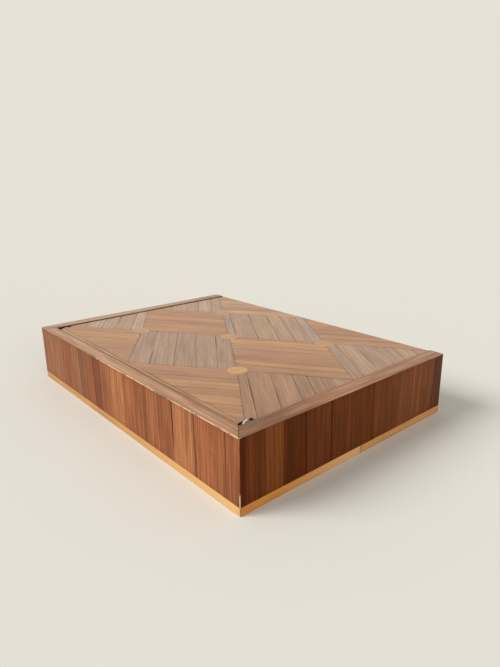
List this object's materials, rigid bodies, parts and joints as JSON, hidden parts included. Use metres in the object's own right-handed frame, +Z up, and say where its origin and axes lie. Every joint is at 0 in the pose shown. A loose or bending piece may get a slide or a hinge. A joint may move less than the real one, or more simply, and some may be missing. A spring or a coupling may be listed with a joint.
{
  "type": "straw marquetry box",
  "caption": "Low rectangular keepsake box of boards covered in straw marquetry, with a lozenge patterned lid set between raised rims and turning on two pivot hinges.",
  "frame": {"origin": "middle of the underside of the base, on the table", "axes": "+X along the box to the right of someone facing the front, +Y towards the hinge wall, +Z up"},
  "size_m": [0.17, 0.12, 0.0285],
  "materials": {
    "board_wood": "bare sanded board",
    "wall_straw": "dyed straw, satin",
    "edge_straw": "dyed straw, satin",
    "lid_straw_warm": "straw, satin",
    "lid_straw_cool": "straw, satin",
    "golden_straw": "undyed straw, satin",
    "lining_straw": "undyed straw, satin",
    "hinge_nickel": "nickel plated",
    "hinge_steel": "turned steel",
    "washer_brass": "satin"
  },
  "bodies": {
    "box": {"base_band_front": "golden_straw", "base_band_left": "golden_straw", "base_band_rear": "golden_straw", "base_band_right": "golden_straw", "base_board": "board_wood", "floor_lining": "lining_straw", "front_ledge_straw": "edge_straw", "front_lining": "lining_straw", "front_wall": "board_wood", "front_wall_straw": "wall_straw", "left_lining": "lining_straw", "left_pivot_pin": "hinge_steel", "left_rim_straw": "edge_straw", "left_wall": "board_wood", "left_wall_leaf": "hinge_nickel", "left_wall_straw": "wall_straw", "pivot_washers": "washer_brass", "rear_lining": "lining_straw", "rear_rim_straw": "edge_straw", "rear_wall": "board_wood", "rear_wall_straw": "wall_straw", "right_lining": "lining_straw", "right_pivot_pin": "hinge_steel", "right_rim_straw": "edge_straw", "right_wall": "board_wood", "right_wall_leaf": "hinge_nickel", "right_wall_straw": "wall_straw", "wall_leaf_screws": "hinge_steel"},
    "lid": {"left_lid_leaf": "hinge_nickel", "lid_board": "board_wood", "lid_discs": "golden_straw", "lid_field_column0_row1": "lid_straw_cool", "lid_field_column0_row3": "lid_straw_cool", "lid_field_column1_row0": "lid_straw_warm", "lid_field_column1_row2": "lid_straw_warm", "lid_field_column1_row4": "lid_straw_warm", "lid_field_column2_row1": "lid_straw_cool", "lid_field_column2_row3": "lid_straw_cool", "lid_field_column3_row0": "lid_straw_warm", "lid_field_column3_row2": "lid_straw_warm", "lid_field_column3_row4": "lid_straw_warm", "lid_field_column4_row1": "lid_straw_cool", "lid_field_column4_row3": "lid_straw_cool", "lid_front_edge_straw": "edge_straw", "lid_hinge_border": "edge_straw", "lid_leaf_screws": "hinge_steel", "lid_left_edge_straw": "edge_straw", "lid_lining": "lining_straw", "lid_right_edge_straw": "edge_straw", "right_lid_leaf": "hinge_nickel"}
  },
  "joints": [
    {"name": "lid_hinge", "type": "hinge", "parent": "box", "child": "lid", "pos_m": [0, 0.0492, 0.0255], "axis": [-1, 0, 0], "range_deg": [0, 123]}
  ]
}
